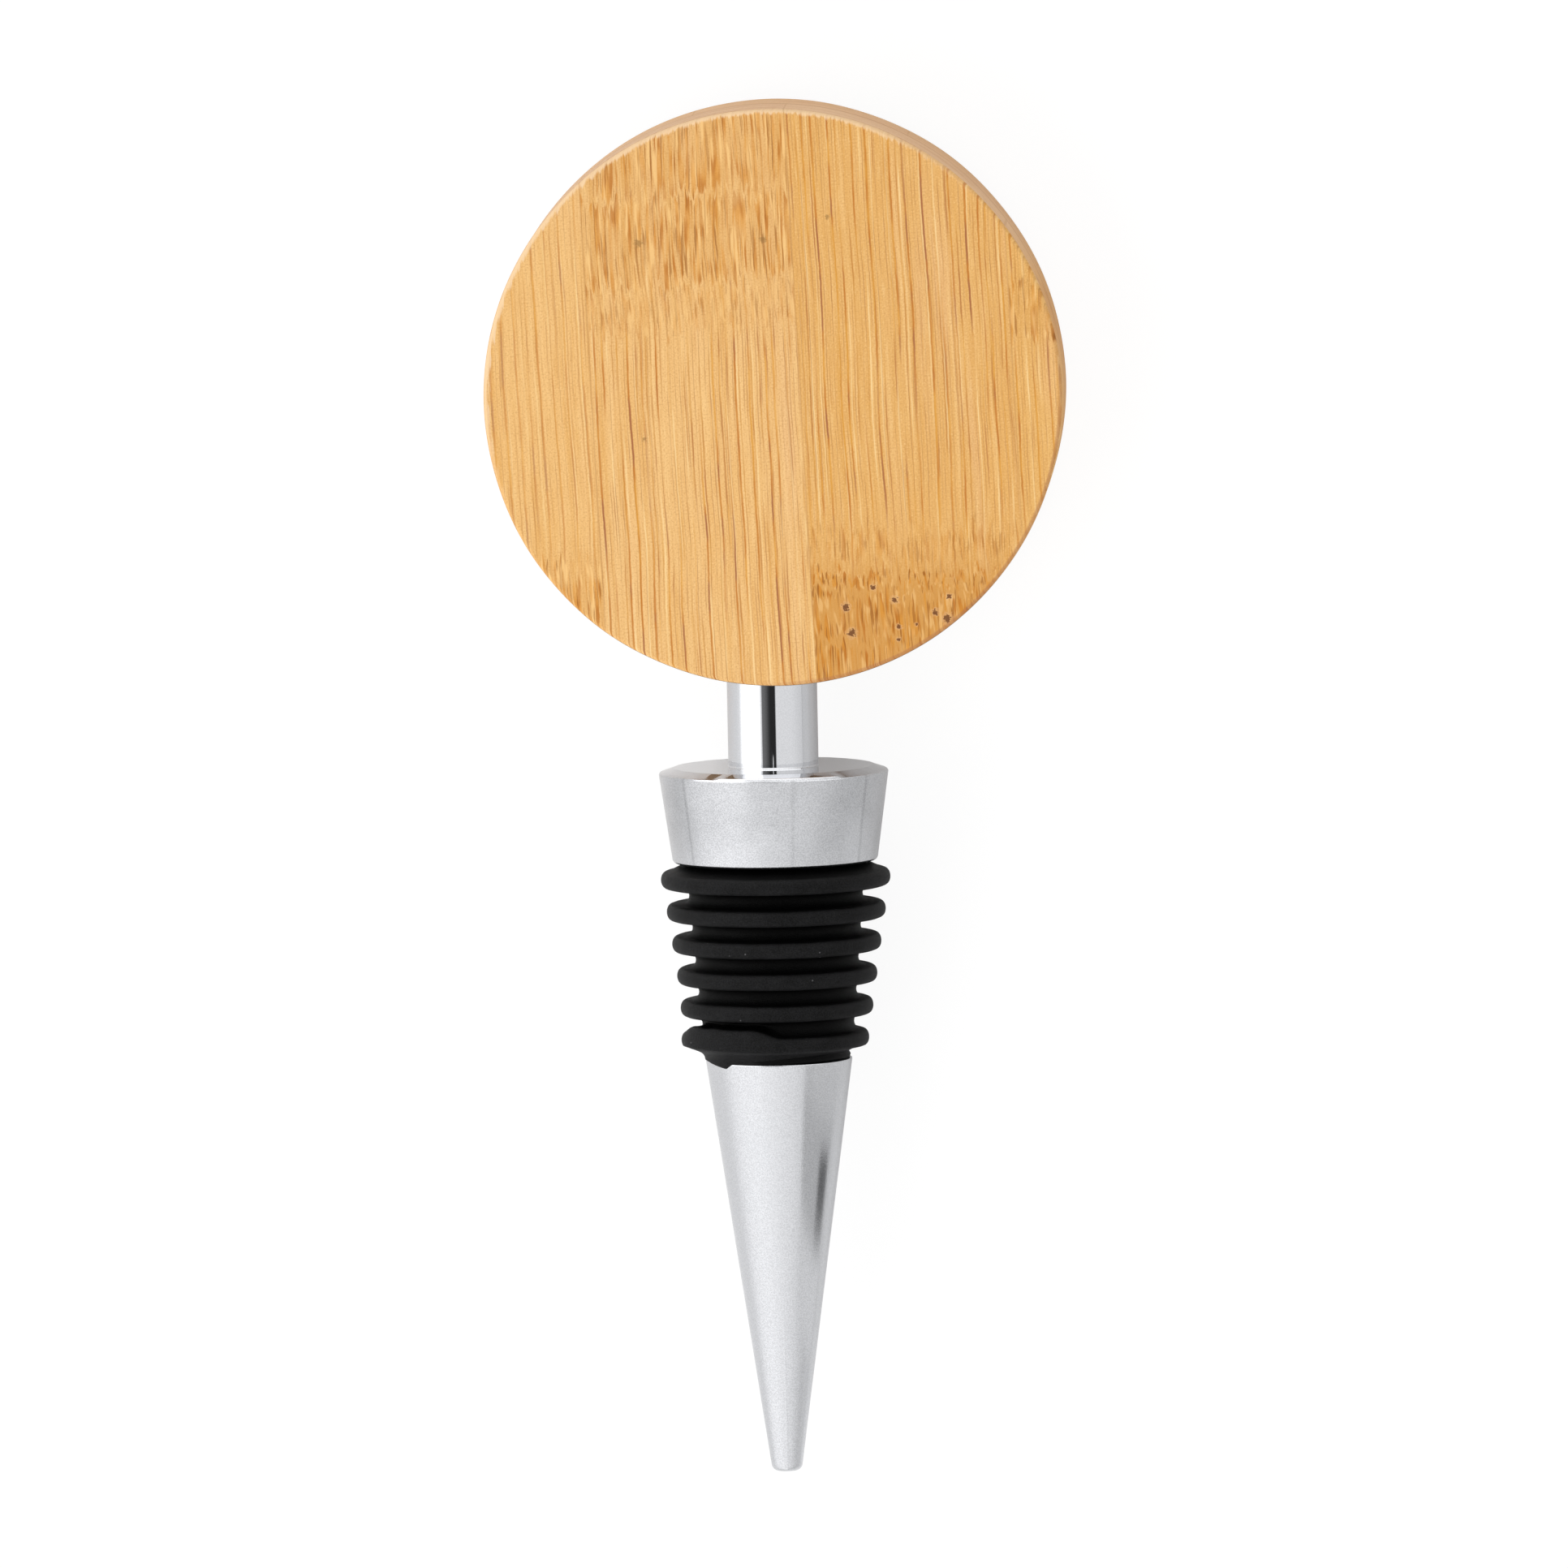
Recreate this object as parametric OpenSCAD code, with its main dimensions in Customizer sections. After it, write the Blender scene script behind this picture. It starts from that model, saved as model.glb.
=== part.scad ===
// Bottle stopper: a laminated bamboo disc glued on a plated zinc casting with a ribbed rubber seal.
// It lies on its side, the way it comes to rest on a table. The disc is towards +Y and the tip
// towards -Y. The bores and circles are turned about the stopper's own axis, which runs level.

/* [Bamboo disc] */
// Diameter of the disc
disc_d = 55; // [48:0.5:70]
// Thickness of the disc
disc_t = 15; // [13:0.5:19]
// Rounding of the disc's edges
disc_round = 0.4; // [0.2:0.1:1.5]
// How far the socket was drilled off the disc's centre line
socket_off = 0.9; // [0:0.1:2]
// Play between the spigot and its glued socket, all round
socket_play = 0.05; // [0.02:0.01:0.2]
// Room for glue beyond the end of the spigot
glue_room = 0.5; // [0.2:0.1:2]

/* [Neck and collar] */
// Diameter of the neck, which goes on into the disc as its spigot
neck_d = 8.6; // [6.5:0.1:10]
// Bare neck between the collar and the disc
neck_len = 8.2; // [5:0.1:20]
// Length of the spigot inside the disc
spigot_len = 14; // [8:0.5:20]
// Chamfer round the end of the spigot
spigot_chamfer = 0.6; // [0.2:0.1:1]
// Fillet where the neck stands on the collar
neck_fillet = 0.3; // [0.1:0.1:1]
// Diameter of the collar at its rim, and of the fin under it, which together lie on the table
collar_d = 21.9; // [20:0.1:26]
// Height of the collar
collar_h = 9.1; // [6:0.1:14]
// Slope of the collar's side, in degrees from the axis
collar_slope = 8; // [3:0.5:12]
// Height of the bevel on the collar's rim
bevel_h = 0.5; // [0.2:0.1:1]
// Inset of the bevel on the collar's rim
bevel_in = 0.7; // [0.2:0.1:1.2]
// Rounding of the collar's lower corner
collar_round = 1; // [0.4:0.1:1.5]

/* [Core and cone] */
// Diameter of the core that the rubber sleeve grips
core_d = 11; // [9:0.1:12]
// Length of the groove that holds the sleeve
groove_len = 18.9; // [16:0.1:26]
// Diameter of the cone at its shoulder
shoulder_d = 14; // [13.2:0.1:14.6]
// Length of the cone
cone_len = 39.6; // [25:0.1:60]
// Diameter of the blunt tip
tip_d = 2.8; // [2:0.1:5]
// Rounding of the tip's edge
tip_round = 0.7; // [0.3:0.1:0.9]

/* [Rubber sleeve] */
// Number of sealing fins
fins = 6; // [4:1:7]
// Diameter of the fin above the cone
fin_last_d = 17.9; // [16.8:0.1:20]
// How quickly the fins narrow at first, where 1 is an even taper
fin_taper_curve = 1.3; // [1:0.1:2]
// Thickness of a fin
fin_t = 1.55; // [1:0.05:2]
// Rounding of a fin's outer edge
fin_round = 0.65; // [0.2:0.05:0.7]
// Diameter between the fins at the collar end
root_first_d = 16.8; // [15:0.1:18]
// Diameter between the fins at the cone end
root_last_d = 14.2; // [13.4:0.1:15]
// From the collar to the middle of the first fin
first_fin_drop = 1.65; // [1.2:0.05:3]
// From the middle of the last fin to the cone's shoulder
last_fin_rise = 1.9; // [1.6:0.05:3]
// Diameter of the lip that sits on the cone's shoulder
lip_d = 14.4; // [14:0.1:15.5]
// Height of the lip, below the slanted underside of the last fin
lip_h = 0.5; // [0.3:0.1:0.8]

/* [Pulled lip] */
// How far the last fin is dragged sideways
drag = 0.3; // [0:0.05:0.5]
// How far the last fin's underside leans towards the dragged side, in degrees
drag_lean = 2; // [0:0.5:3]
// How far bunched rubber fills the last groove on the dragged side
bunch = 1.1; // [0:0.1:1.5]
// Direction of the bunched rubber, in degrees from the dragged side to the front
bunch_turn = 25; // [0:5:60]
// How far the torn flap hangs over the cone's shoulder
flap_hang = 0.45; // [0.2:0.05:0.8]
// Thickness of the flap
flap_t = 0.3; // [0.15:0.05:0.4]
// Where the flap starts, in degrees round from the front
flap_start = 85; // [70:5:90]
// Where the flap's point hangs, in degrees round from the front
flap_point = 45; // [40:1:60]
// Where the flap ends in a notch, in degrees round from the front
flap_notch = 36; // [20:1:38]

/* [Hidden] */
$fn = 96;
// Heights along the axis, counted from the tip
shoulder_z = cone_len;
collar_z = shoulder_z + groove_len;
rim_z = collar_z + collar_h - bevel_h;
neck_z = collar_z + collar_h;
disc_z = neck_z + neck_len + disc_d / 2;
overall = disc_z + disc_d / 2;
// Half the cone's angle
cone_slope = atan((shoulder_d - tip_d) / 2 / cone_len);
// The collar's underside, where its sloping side would meet it
collar_foot_d = collar_d - 2 * (collar_h - bevel_h) * tan(collar_slope);
// The fins stand at equal steps between the first and the last
fin_pitch = (groove_len - first_fin_drop - last_fin_rise) / (fins - 1);
last_fin_z = shoulder_z + last_fin_rise;
// The first fin reaches out as far as the collar's rim. The two carry the stopper on the table,
// and the disc's lower edge steadies it
fin_first_d = collar_d;
rest_r = collar_d / 2;
edge_out = socket_off + disc_d / 2 - disc_round;
edge_up = disc_t / 2 - disc_round;
roll = asin((rest_r - disc_round) / norm([edge_out, edge_up])) - atan2(edge_up, edge_out);
// A margin for cutters, and one by which joined shapes run into each other
over = 1;
bite = 0.2;

// Share of the way from the first fin to the last
function along(k) = k / (fins - 1);
function fin_z(k) = collar_z - first_fin_drop - k * fin_pitch;
function fin_r(k) = (fin_last_d + (fin_first_d - fin_last_d) * pow(1 - along(k), fin_taper_curve)) / 2;
function root_r(k) = (root_first_d + (root_last_d - root_first_d) * along(k)) / 2;
function fin_drag(k) = drag * pow(along(k), 3);

// Lays the upright stopper on its side, with its front up, and rolls it onto the disc's edge
module lie_down() {
    translate([-socket_off * cos(roll), -overall / 2, rest_r])
        rotate([0, roll, 0])
            rotate([-90, 0, 0])
                children();
}

// A half section's corner, rounded where a wall that leans outwards by slope meets a flat foot
module rounded_foot(foot_r, foot_z, round_r, slope) {
    centre_r = foot_r + round_r * tan(slope) - round_r / cos(slope);
    translate([centre_r, foot_z + round_r])
        circle(r = round_r);
    polygon([
        [0, foot_z],
        [centre_r, foot_z],
        [centre_r + round_r * cos(slope), foot_z + round_r * (1 - sin(slope))],
        [0, foot_z + round_r]
    ]);
}

module collar_section() {
    foot_r = collar_foot_d / 2;
    above = collar_z + collar_round * (1 - sin(collar_slope));
    rounded_foot(foot_r, collar_z, collar_round, collar_slope);
    polygon([
        [0, above],
        [foot_r + (above - collar_z) * tan(collar_slope), above],
        [collar_d / 2, rim_z],
        [collar_d / 2 - bevel_in, neck_z],
        [0, neck_z]
    ]);
}

module cone_section() {
    above = tip_round * (1 - sin(cone_slope));
    rounded_foot(tip_d / 2, 0, tip_round, cone_slope);
    polygon([
        [0, above],
        [tip_d / 2 + above * tan(cone_slope), above],
        [shoulder_d / 2, shoulder_z],
        [0, shoulder_z]
    ]);
}

module spigot_section() {
    end_z = neck_z + neck_len + spigot_len;
    polygon([
        [0, neck_z - bite],
        [neck_d / 2, neck_z - bite],
        [neck_d / 2, end_z - spigot_chamfer],
        [neck_d / 2 - spigot_chamfer, end_z],
        [0, end_z]
    ]);
    difference() {
        translate([0, neck_z - bite])
            square([neck_d / 2 + neck_fillet, neck_fillet + bite]);
        translate([neck_d / 2 + neck_fillet, neck_z + neck_fillet])
            circle(r = neck_fillet);
    }
}

// One casting: the spigot and neck, the collar, the core that holds the sleeve, and the cone
module stopper_body() {
    color("gainsboro")
        lie_down()
            rotate_extrude() {
                spigot_section();
                collar_section();
                translate([0, shoulder_z - bite])
                    square([core_d / 2, groove_len + 2 * bite]);
                cone_section();
            }
}

// The disc stands on its rim, and its socket runs in through the rim along the stopper's axis
module bamboo_disc() {
    rim_r = disc_d / 2;
    color("burlywood")
        lie_down()
            difference() {
                translate([socket_off, 0, disc_z])
                    rotate([90, 0, 0])
                        rotate_extrude() {
                            translate([0, -disc_t / 2])
                                square([rim_r - disc_round, disc_t]);
                            translate([0, -edge_up])
                                square([rim_r, 2 * edge_up]);
                            for (side = [-1, 1])
                                translate([rim_r - disc_round, side * edge_up])
                                    circle(r = disc_round);
                        }
                translate([0, 0, neck_z])
                    cylinder(d = neck_d + 2 * socket_play, h = neck_len + spigot_len + glue_room);
            }
}

// One sealing fin, a flat ring with a rounded edge, dragged aside near the cone
module fin(k) {
    flat_r = fin_r(k) - fin_round;
    land = fin_t - 2 * fin_round;
    translate([-fin_drag(k), 0, fin_z(k)])
        rotate_extrude() {
            translate([0, -fin_t / 2])
                square([flat_r, fin_t]);
            translate([0, -land / 2])
                square([fin_r(k), land]);
            for (side = [-1, 1])
                translate([flat_r, side * land / 2])
                    circle(r = fin_round);
        }
}

// The wall between the fins, with a round-bottomed groove in each gap
module wall() {
    groove_r = (fin_pitch - fin_t) / 2;
    rotate_extrude() {
        translate([0, fin_z(0)])
            square([root_r(0), collar_z - fin_z(0)]);
        for (k = [0 : fins - 2])
            difference() {
                translate([0, fin_z(k + 1)])
                    square([root_r(k + 0.5) + groove_r, fin_pitch]);
                translate([root_r(k + 0.5) + groove_r, fin_z(k) - fin_pitch / 2])
                    circle(r = groove_r);
            }
    }
}

// The slanted underside of the last fin, which eases the stopper into a bottle, and its lip
module lead_in() {
    lead_h = last_fin_rise - lip_h;
    lead_r = fin_r(fins - 1) - fin_round / 2;
    for (lean = [0, -drag_lean])
        translate([-drag * sign(-lean), 0, last_fin_z])
            rotate([0, lean, 0])
                translate([0, 0, -lead_h])
                    cylinder(r1 = lip_d / 2, r2 = lead_r, h = lead_h);
    translate([0, 0, shoulder_z])
        cylinder(d = lip_d, h = lip_h + bite);
}

// Rubber bunched up in the last groove, on the side that the sleeve is dragged to
module bunched_rubber() {
    turned = [-cos(bunch_turn), -sin(bunch_turn), 0];
    translate([0, 0, last_fin_z])
        translate(bunch * turned)
            cylinder(r = root_r(fins - 1) - bite, h = fin_pitch);
}

// The torn flap: a thin skin on the cone, cut to the outline of the lip where it hangs over
module flap() {
    foot_z = shoulder_z - flap_hang - bite;
    foot_r = shoulder_d / 2 - (flap_hang + bite) * tan(cone_slope);
    reach = shoulder_d / 2 + flap_t + over;
    intersection() {
        rotate_extrude()
            polygon([
                [foot_r, foot_z],
                [foot_r + flap_t, foot_z],
                [shoulder_d / 2 + flap_t, shoulder_z],
                [lip_d / 2, shoulder_z + lip_h],
                [core_d / 2, shoulder_z + lip_h],
                [core_d / 2, shoulder_z],
                [shoulder_d / 2, shoulder_z]
            ]);
        rotate([90, 0, 0])
            linear_extrude(height = reach)
                polygon([
                    [-reach * sin(flap_start), shoulder_z],
                    [-shoulder_d / 2 * sin(flap_point), shoulder_z - flap_hang],
                    [-shoulder_d / 2 * sin(flap_notch), shoulder_z],
                    [-shoulder_d / 2 * sin(flap_notch), shoulder_z + lip_h],
                    [-reach * sin(flap_start), shoulder_z + lip_h]
                ]);
    }
}

// One moulding, stretched over the cone and snapped onto the core
module rubber_sleeve() {
    color("dimgray")
        lie_down()
            difference() {
                union() {
                    for (k = [0 : fins - 1])
                        fin(k);
                    wall();
                    lead_in();
                    bunched_rubber();
                    flap();
                }
                translate([0, 0, shoulder_z])
                    cylinder(d = core_d, h = groove_len);
            }
}

bamboo_disc();
stopper_body();
rubber_sleeve();
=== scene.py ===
# %% [markdown]
# # A bottle stopper, on its side
# The stopper has three pieces: a bamboo disc to hold it by, a plated zinc casting that is neck,
# collar, core and cone in one, and a ribbed rubber sleeve pulled over the core. The packed
# model comes first, as a fixed frame: each piece below is made for the place of one of its
# nodes, so that its looks never change its size.

# %% Load the frame
import math

import bpy
import numpy as np
from mathutils import Matrix, Vector, noise


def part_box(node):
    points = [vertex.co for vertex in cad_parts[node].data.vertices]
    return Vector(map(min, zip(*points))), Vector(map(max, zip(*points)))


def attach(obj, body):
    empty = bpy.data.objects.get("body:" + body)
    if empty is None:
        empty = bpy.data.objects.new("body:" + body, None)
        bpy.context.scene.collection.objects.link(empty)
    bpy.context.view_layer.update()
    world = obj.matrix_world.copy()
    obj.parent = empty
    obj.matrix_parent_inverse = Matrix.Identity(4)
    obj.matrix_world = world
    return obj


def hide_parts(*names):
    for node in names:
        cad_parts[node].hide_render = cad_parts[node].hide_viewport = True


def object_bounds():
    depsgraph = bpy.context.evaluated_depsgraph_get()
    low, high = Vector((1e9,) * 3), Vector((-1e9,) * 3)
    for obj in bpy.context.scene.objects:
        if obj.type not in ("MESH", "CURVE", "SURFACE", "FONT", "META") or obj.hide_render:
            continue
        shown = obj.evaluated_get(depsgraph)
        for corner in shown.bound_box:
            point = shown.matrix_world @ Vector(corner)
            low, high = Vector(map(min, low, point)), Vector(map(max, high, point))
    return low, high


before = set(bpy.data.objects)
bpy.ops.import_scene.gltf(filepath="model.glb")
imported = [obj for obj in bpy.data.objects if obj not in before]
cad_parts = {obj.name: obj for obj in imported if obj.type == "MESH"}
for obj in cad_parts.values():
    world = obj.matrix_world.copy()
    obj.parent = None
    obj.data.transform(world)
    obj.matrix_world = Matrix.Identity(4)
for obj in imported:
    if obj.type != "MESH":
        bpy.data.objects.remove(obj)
cad_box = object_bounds()
MM = 0.001


def span(box, axis):
    """A box's length along an axis, in millimetres."""
    return (box[1][axis] - box[0][axis]) / MM


print("nodes", sorted(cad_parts), "long", round(span(cad_box, 1), 2))

# %% [markdown]
# ## The sizes
# Four sizes are read off the frame, and the rest are the ones that a maker would write on the
# drawing, in millimetres. Heights count from the tip along the stopper's own axis. Its front,
# the face of the disc that is looked at, is towards its own -Y.

# %% Driving sizes
disc_d = span(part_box("bamboo_disc"), 1)
collar_d = span(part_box("stopper_body"), 2)
overall = span(cad_box, 1)
spigot_end = span(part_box("stopper_body"), 1)
disc_t, disc_round, socket_off = 15.0, 0.4, 0.9
neck_d, spigot_chamfer = 8.6, 0.6
foot_h, foot_out, foot_round = 0.14, 0.04, 0.02
collar_h, collar_slope, collar_round = 9.1, math.radians(8), 0.4
lip_h, lip_in, lip_round = 0.16, 0.08, 0.1
roll_h, roll_in, roll_round = 0.64, 1.46, 0.5
core_d, groove_len = 11.0, 18.9
shoulder_d, shoulder_round, cone_len = 14.0, 0.12, 39.6
tip_d, tip_round = 2.8, 0.7

collar_z = cone_len + groove_len
neck_z = collar_z + collar_h
disc_z = overall - disc_d / 2
print("disc", round(disc_d, 2), "collar", round(collar_d, 2), "spigot end", round(spigot_end, 2))

# %% [markdown]
# ## How it lies
# The collar's rim and the first fin lie on the table, and the disc's lower edge steadies the
# stopper, so it is rolled a few degrees about its own axis. One matrix takes the upright
# stopper, in millimetres, to its place in the frame, in metres.

# %% Lying down
edge_out = socket_off + disc_d / 2 - disc_round
edge_up = disc_t / 2 - disc_round
edge_reach, edge_lean = math.hypot(edge_out, edge_up), math.atan2(edge_up, edge_out)
rest_r = collar_d / 2
roll = math.asin((rest_r - disc_round) / edge_reach) - edge_lean
axis_right, axis_up = -socket_off * math.cos(roll), rest_r
lie_down = (
    Matrix.Scale(MM, 4)
    @ Matrix.Translation((axis_right, -overall / 2, axis_up))
    @ Matrix.Rotation(roll, 4, "Y")
    @ Matrix.Rotation(-math.pi / 2, 4, "X")
)
print("rolled by", round(math.degrees(roll), 2), "degrees")

# %% [markdown]
# ## Sums on sockets
# Both materials and Geometry Nodes are graphs of small sums. Written node by node they can't
# be read, so a wire stands for one output socket and takes part in Python's own operators.
# The bench is the tree on which the nodes stand.


# %% Bench and wire
class Bench:
    """A node tree, with the one method that adds any node to it."""

    def __init__(self, tree):
        self.tree = tree

    def add(self, kind, settings=None, links=None, out=0):
        """Adds a node, sets its settings, then gives its sockets their values or links."""
        node = self.tree.nodes.new(kind)
        for name, value in (settings or {}).items():
            if name == "items":
                for _ in range(value - len(node.index_switch_items)):
                    node.index_switch_items.new()
            else:
                setattr(node, name, value)
        for key, value in (links or {}).items():
            if isinstance(value, Wire):
                self.tree.links.new(value.socket, node.inputs[key])
            else:
                node.inputs[key].default_value = value
        return Wire(self, node.outputs[out]) if len(node.outputs) else None

    def point(self, x, y, z):
        return self.add("ShaderNodeCombineXYZ", None, {0: x, 1: y, 2: z})

    def blend(self, factor, base, over):
        """Lays one colour over another by a factor from 0 to 1."""
        settings = {"data_type": "RGBA", "clamp_factor": True}
        return self.add("ShaderNodeMix", settings, {0: factor, 6: base, 7: over}, 2)

    def bump(self, height, strength, depth):
        """A relief that only the light sees. depth is in metres, as the scene is."""
        sockets = {"Height": height, "Strength": strength, "Distance": depth}
        return self.add("ShaderNodeBump", None, sockets)

    def show(self, shader):
        """Makes a shader the one that the surface shows."""
        self.tree.links.new(shader.socket, self.tree.nodes["Material Output"].inputs["Surface"])


class Wire:
    """A socket in a sum: an expression on wires adds the Math nodes that work it out."""

    def __init__(self, bench, socket):
        self.bench, self.socket = bench, socket

    def other(self, key):
        """Another output of the same node."""
        return Wire(self.bench, self.socket.node.outputs[key])

    def math(self, operation, *others):
        return self.bench.add(
            "ShaderNodeMath", {"operation": operation}, dict(enumerate((self, *others)))
        )

    def __add__(self, other):
        return self.math("ADD", other)

    def __sub__(self, other):
        return self.math("SUBTRACT", other)

    def __mul__(self, other):
        return self.math("MULTIPLY", other)

    def __truediv__(self, other):
        return self.math("DIVIDE", other)

    def __pow__(self, other):
        return self.math("POWER", other)

    def __lt__(self, other):
        return self.math("LESS_THAN", other)

    def __gt__(self, other):
        return self.math("GREATER_THAN", other)

    def __rsub__(self, other):
        return self * -1 + other

    __radd__ = __add__
    __rmul__ = __mul__

    def smooth(self, low, high):
        """0 at low, 1 at high, with an easy curve between, also where low is the larger."""
        limits = {"Value": self, "From Min": low, "From Max": high}
        return self.bench.add("ShaderNodeMapRange", {"interpolation_type": "SMOOTHSTEP"}, limits)

    def between(self, low, high, soft):
        """1 inside a band, with edges that are soft wide."""
        return self.smooth(low - soft, low + soft) * self.smooth(high + soft, high - soft)

    def along(self, direction):
        """How far a place lies in a direction."""
        settings = {"operation": "DOT_PRODUCT"}
        return self.bench.add("ShaderNodeVectorMath", settings, {0: self, 1: direction}, 1)

    def noise(self, **sockets):
        """Soft noise from 0 to 1 at this place."""
        return self.bench.add("ShaderNodeTexNoise", None, {"Vector": self, "Scale": 1.0, **sockets})


def new_material(name):
    """A material with a single Principled BSDF, and the bench that holds its nodes."""
    material = bpy.data.materials.new(name)
    material.use_nodes = True
    return material, Bench(material.node_tree), material.node_tree.nodes["Principled BSDF"]


def give_finish(skin, colour, roughness, relief):
    """Links what varies over a surface to its shader."""
    for name, wire in (("Base Color", colour), ("Roughness", roughness), ("Normal", relief)):
        wire.bench.tree.links.new(wire.socket, skin.inputs[name])


def linear(red, green, blue):
    """A colour as a screen shows it, 0 to 255, as the linear colour that shaders work in."""
    return tuple(
        (c / 255 + 0.055) ** 2.4 / 1.055**2.4 if c > 10 else c / 3295 for c in (red, green, blue)
    ) + (1.0,)


# %% [markdown]
# ## Turned shapes
# The casting and the disc are turned shapes. A Screw modifier would turn an outline too, but
# evenly and without rounding its corners. So each is drawn as a half outline with square
# corners and a radius for each corner, which gives real rounded edges: they catch the light
# as the thing itself does. The outline is then turned about the axis into one closed skin.


# %% Rounded outlines
def rounded(corners, steps=7, grip=0.04):
    """Turns corners (radius, height, rounding) into points, with an arc at each rounding."""
    points = []
    for i, (r, z, rounding) in enumerate(corners):
        here = np.array([r, z])
        if not rounding:
            points.append(here)
            continue
        back, ahead = np.array(corners[i - 1][:2]) - here, np.array(corners[i + 1][:2]) - here
        back, ahead = back / np.linalg.norm(back), ahead / np.linalg.norm(ahead)
        half = math.acos(np.clip(back @ ahead, -1, 1)) / 2
        reach = rounding / math.tan(half)
        middle = (back + ahead) / np.linalg.norm(back + ahead)
        centre = here + middle * rounding / math.sin(half)
        start, end = here + back * reach - centre, here + ahead * reach - centre
        first = math.atan2(start[1], start[0])
        turn = (math.atan2(end[1], end[0]) - first + math.pi) % (2 * math.pi) - math.pi
        points.append(centre + start + back * grip)
        for step in range(steps + 1):
            angle = first + turn * step / steps
            points.append(centre + rounding * np.array([math.cos(angle), math.sin(angle)]))
        points.append(centre + end + ahead * grip)
    return points


def spaced(points, longest):
    """Divides the long stretches of an outline, so that the skin can carry fine detail."""
    out = [points[0]]
    for a, b in zip(points, points[1:]):
        count = max(1, math.ceil(np.linalg.norm(b - a) / longest))
        out += [a + (b - a) * (k + 1) / count for k in range(count)]
    return np.array(out)


# %% [markdown]
# The turns needn't be even: the casting has more of them along its parting line, where a
# ridge a tenth of a millimetre wide has to show.


# %% Turning an outline
def placed(name, data):
    """Puts a new object with this data into the scene."""
    thing = bpy.data.objects.new(name, data)
    bpy.context.scene.collection.objects.link(thing)
    return thing


def turned(name, outline, turns, place, shape=None):
    """Turns an outline, from axis to axis, into a closed skin and lays it in the frame."""
    count, rings = len(turns), outline[1:-1]
    r, z = rings[:, :1], rings[:, 1:]
    skin = np.stack([r * np.cos(turns), r * np.sin(turns), z + 0 * turns], -1).reshape(-1, 3)
    if shape is not None:
        skin = shape(skin)
    ends = [[0, 0, outline[0][1]], [0, 0, outline[-1][1]]]
    first, last = len(skin), len(skin) + 1
    top = (len(rings) - 1) * count
    faces = []
    for j in range(count):
        k = (j + 1) % count
        faces.append((first, k, j))
        faces.append((top + j, top + k, last))
        for i in range(0, top, count):
            faces.append((i + j, i + k, i + count + k, i + count + j))
    mesh = bpy.data.meshes.new(name)
    mesh.from_pydata([*map(tuple, skin), *ends], [], faces)
    mesh.transform(place)
    mesh.shade_smooth()
    print(name, len(mesh.polygons), "faces")
    return placed(name, mesh)


def stands_for(piece, node, material):
    """The piece takes the place of a CAD node, with its finish."""
    piece.data.materials.clear()
    piece.data.materials.append(material)
    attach(piece, "root")
    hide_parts(node)


# %% [markdown]
# ## The casting
# Neck, collar, core and cone are one zinc casting. It was made in two mould halves that met
# in the plane of the disc's axis, and buffing has left a trace of their joint: a hair's
# breadth of ridge down the cone's lower end and on the neck. Buffing also leaves the sides
# very slightly wavy, which is what makes a reflection in plated zinc look unlike glass. The
# collar's top edge is rolled over. At the front the wheel has laid it a little flatter, so
# there it mirrors the bright room and not the disc, and a fine ring stands round the neck's
# foot. All of it is moved in the skin itself, because in a mirror a bump gives itself away.

# %% The casting's shape
collar_foot_r = collar_d / 2 - (collar_h - roll_h) * math.tan(collar_slope)
casting_corners = [
    (0, 0, 0),
    (tip_d / 2, 0, tip_round),
    (shoulder_d / 2, cone_len, shoulder_round),
    (core_d / 2, cone_len, 0),
    (core_d / 2, collar_z, 0),
    (collar_foot_r, collar_z, collar_round),
    (collar_d / 2, neck_z - roll_h, lip_round),
    (collar_d / 2 - lip_in, neck_z - roll_h + lip_h, lip_round),
    (collar_d / 2 - roll_in, neck_z, roll_round),
    (neck_d / 2 + foot_out, neck_z, foot_round),
    (neck_d / 2, neck_z + foot_h, foot_round),
    (neck_d / 2, spigot_end - spigot_chamfer, 0),
    (neck_d / 2 - spigot_chamfer, spigot_end, 0),
    (0, spigot_end, 0),
]
joint_x, ridge_w, ridge_h = 0.1, 0.07, 0.02
ridge_top, ridge_fade, neck_ridge, neck_fade = 17, 5, 2.5, 1.5
wave_h, beaten_h = 0.006, 0.02
buffed_h, buffed_at, buffed_half, buffed_soft = 0.18, 5, 34, 3


def noise_at(places):
    """Soft noise, from -1 to 1, at each of many places."""
    return np.array([noise.noise(Vector(place)) for place in places])


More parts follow.
